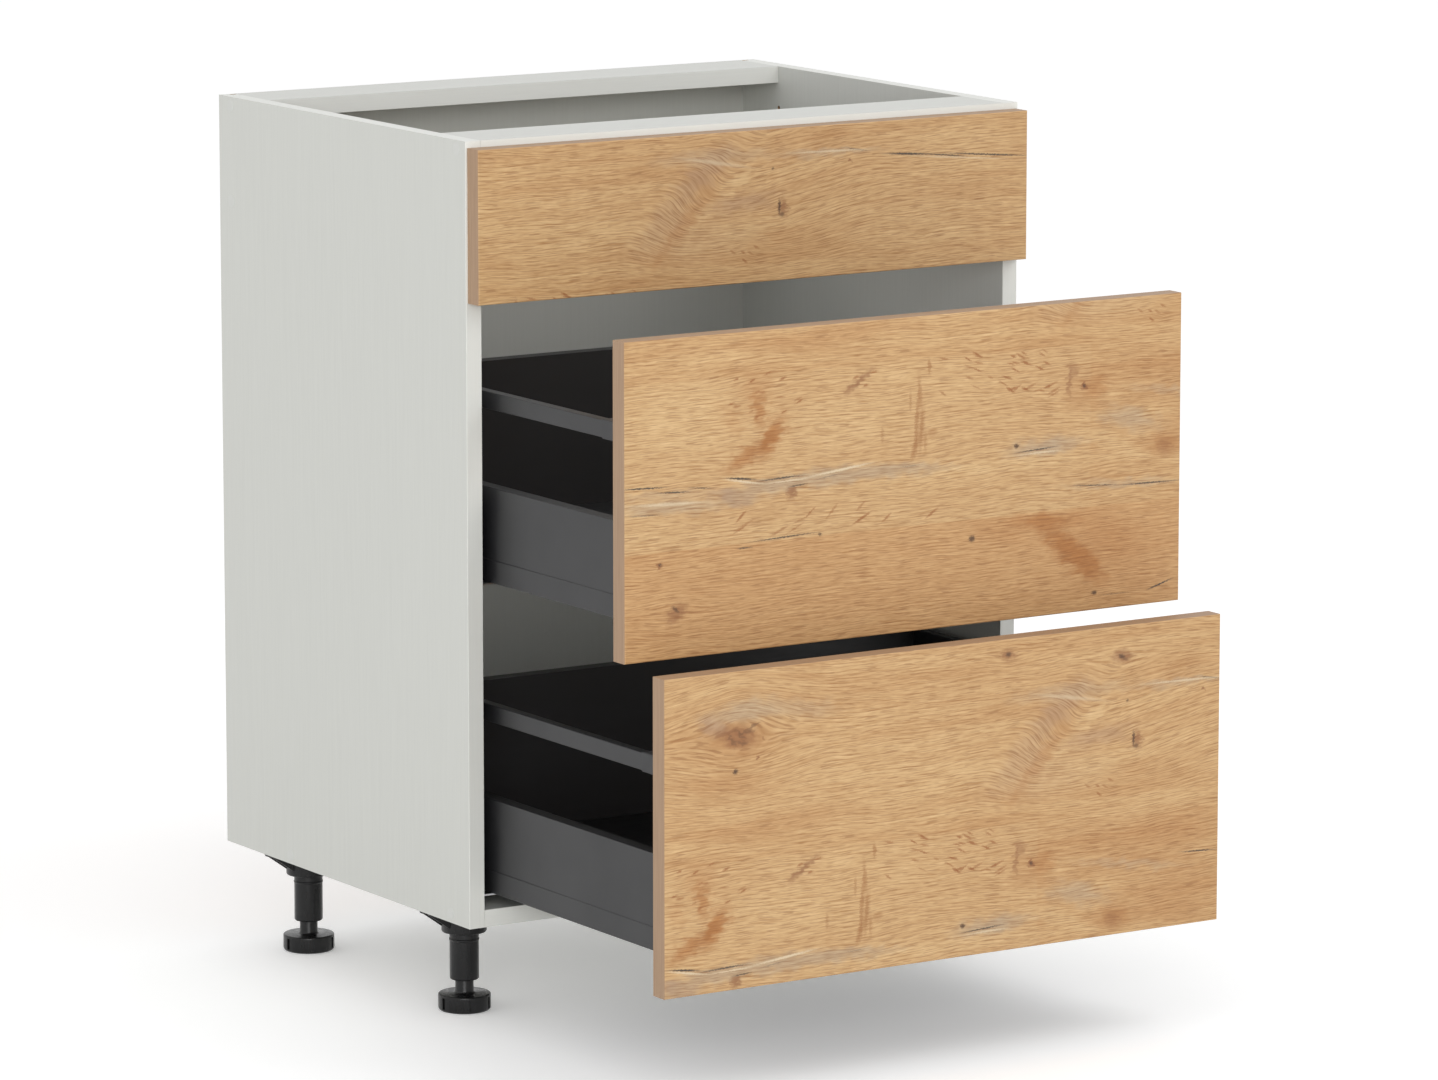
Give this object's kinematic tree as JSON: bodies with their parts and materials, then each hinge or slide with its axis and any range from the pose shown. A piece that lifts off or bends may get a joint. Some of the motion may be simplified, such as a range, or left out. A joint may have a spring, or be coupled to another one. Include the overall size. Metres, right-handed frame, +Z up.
{
  "type": "base cabinet with drawers",
  "caption": "Kitchen base unit in light grey board with a blind oak top front and deep steel-sided drawers pulled open on adjustable legs.",
  "frame": {"origin": "middle of the overall box's underside, on the floor, with the drawers as far open as in the picture", "axes": "+Z up, +X to the right of someone facing the fronts, -Y out of the unit, the way the drawers open"},
  "size_m": [0.601, 0.789, 0.82],
  "materials": {
    "melamine": "light warm grey melamine-faced chipboard, fine satin",
    "hardboard": "thin lacquered hardboard, light grey on both faces",
    "oak_decor": "natural oak décor with horizontal grain, matt",
    "drawer_board": "anthracite melamine-faced chipboard, fine grain",
    "anthracite_steel": "anthracite powder coat, fine satin",
    "anthracite_moulding": "anthracite moulded plastic",
    "zinc_steel": "zinc-plated rolled steel",
    "screw_steel": "zinc-plated screw steel",
    "nylon": "natural nylon",
    "beech": "plain beech dowel",
    "cap_plastic": "light grey moulded plastic",
    "leg_plastic": "black moulded plastic, fine satin"
  },
  "bodies": {
    "cabinet": {"side_panel_left": "melamine", "side_panel_right": "melamine", "base_panel": "melamine", "back_panel": "hardboard", "front_top_rail": "melamine", "rear_top_rail": "melamine", "rear_cross_rail": "melamine", "blind_front": "oak_decor", "blind_front_brackets": "zinc_steel", "confirmat_screws": "screw_steel", "screw_cover_caps": "cap_plastic", "wood_dowels": "beech", "carcass_wood_screws": "screw_steel", "leg_sockets": "leg_plastic", "lower_runner_cabinet_member_left": "zinc_steel", "lower_runner_cabinet_member_right": "zinc_steel", "upper_runner_cabinet_member_left": "zinc_steel", "upper_runner_cabinet_member_right": "zinc_steel"},
    "front_left_foot": {"foot_front_left": "leg_plastic"},
    "front_right_foot": {"foot_front_right": "leg_plastic"},
    "rear_left_foot": {"foot_rear_left": "leg_plastic"},
    "rear_right_foot": {"foot_rear_right": "leg_plastic"},
    "lower_drawer": {"lower_drawer_front": "oak_decor", "lower_drawer_base": "drawer_board", "lower_drawer_back": "drawer_board", "lower_drawer_side_left": "anthracite_steel", "lower_drawer_side_right": "anthracite_steel", "lower_gallery_rail_left": "anthracite_steel", "lower_gallery_rail_right": "anthracite_steel", "lower_front_bracket_left": "anthracite_moulding", "lower_front_bracket_right": "anthracite_moulding", "lower_rear_bracket_left": "anthracite_moulding", "lower_rear_bracket_right": "anthracite_moulding", "lower_runner_drawer_member_left": "zinc_steel", "lower_runner_drawer_member_right": "zinc_steel", "lower_rail_connectors": "anthracite_moulding", "lower_drawer_screws": "screw_steel"},
    "lower_middle_left": {"lower_runner_middle_member_left": "zinc_steel", "lower_slide_blocks_left": "nylon"},
    "lower_middle_right": {"lower_runner_middle_member_right": "zinc_steel", "lower_slide_blocks_right": "nylon"},
    "upper_drawer": {"upper_drawer_front": "oak_decor", "upper_drawer_base": "drawer_board", "upper_drawer_back": "drawer_board", "upper_drawer_side_left": "anthracite_steel", "upper_drawer_side_right": "anthracite_steel", "upper_gallery_rail_left": "anthracite_steel", "upper_gallery_rail_right": "anthracite_steel", "upper_front_bracket_left": "anthracite_moulding", "upper_front_bracket_right": "anthracite_moulding", "upper_rear_bracket_left": "anthracite_moulding", "upper_rear_bracket_right": "anthracite_moulding", "upper_runner_drawer_member_left": "zinc_steel", "upper_runner_drawer_member_right": "zinc_steel", "upper_rail_connectors": "anthracite_moulding", "upper_drawer_screws": "screw_steel"},
    "upper_middle_left": {"upper_runner_middle_member_left": "zinc_steel", "upper_slide_blocks_left": "nylon"},
    "upper_middle_right": {"upper_runner_middle_member_right": "zinc_steel", "upper_slide_blocks_right": "nylon"}
  },
  "joints": [
    {"name": "lower_drawer_slide", "type": "slide", "parent": "cabinet", "child": "lower_drawer", "axis": [0, -1, 0], "range_m": [-0.3115, 0.1085]},
    {"name": "lower_middle_slide_left", "type": "slide", "parent": "cabinet", "child": "lower_middle_left", "axis": [0, -1, 0], "range_m": [-0.15575, 0.05425]},
    {"name": "lower_middle_slide_right", "type": "slide", "parent": "cabinet", "child": "lower_middle_right", "axis": [0, -1, 0], "range_m": [-0.15575, 0.05425]},
    {"name": "upper_drawer_slide", "type": "slide", "parent": "cabinet", "child": "upper_drawer", "axis": [0, -1, 0], "range_m": [-0.2465, 0.1735]},
    {"name": "upper_middle_slide_left", "type": "slide", "parent": "cabinet", "child": "upper_middle_left", "axis": [0, -1, 0], "range_m": [-0.12325, 0.08675]},
    {"name": "upper_middle_slide_right", "type": "slide", "parent": "cabinet", "child": "upper_middle_right", "axis": [0, -1, 0], "range_m": [-0.12325, 0.08675]},
    {"name": "front_left_foot_screw", "type": "slide", "parent": "cabinet", "child": "front_left_foot", "axis": [0, 0, -1], "range_m": [-0.01, 0.02]},
    {"name": "front_right_foot_screw", "type": "slide", "parent": "cabinet", "child": "front_right_foot", "axis": [0, 0, -1], "range_m": [-0.01, 0.02]},
    {"name": "rear_left_foot_screw", "type": "slide", "parent": "cabinet", "child": "rear_left_foot", "axis": [0, 0, -1], "range_m": [-0.01, 0.02]},
    {"name": "rear_right_foot_screw", "type": "slide", "parent": "cabinet", "child": "rear_right_foot", "axis": [0, 0, -1], "range_m": [-0.01, 0.02]}
  ],
  "couplings": [
    {"joint": "lower_middle_slide_left", "follows": "lower_drawer_slide", "ratio": 0.5},
    {"joint": "lower_middle_slide_right", "follows": "lower_drawer_slide", "ratio": 0.5},
    {"joint": "upper_middle_slide_left", "follows": "upper_drawer_slide", "ratio": 0.5},
    {"joint": "upper_middle_slide_right", "follows": "upper_drawer_slide", "ratio": 0.5}
  ]
}
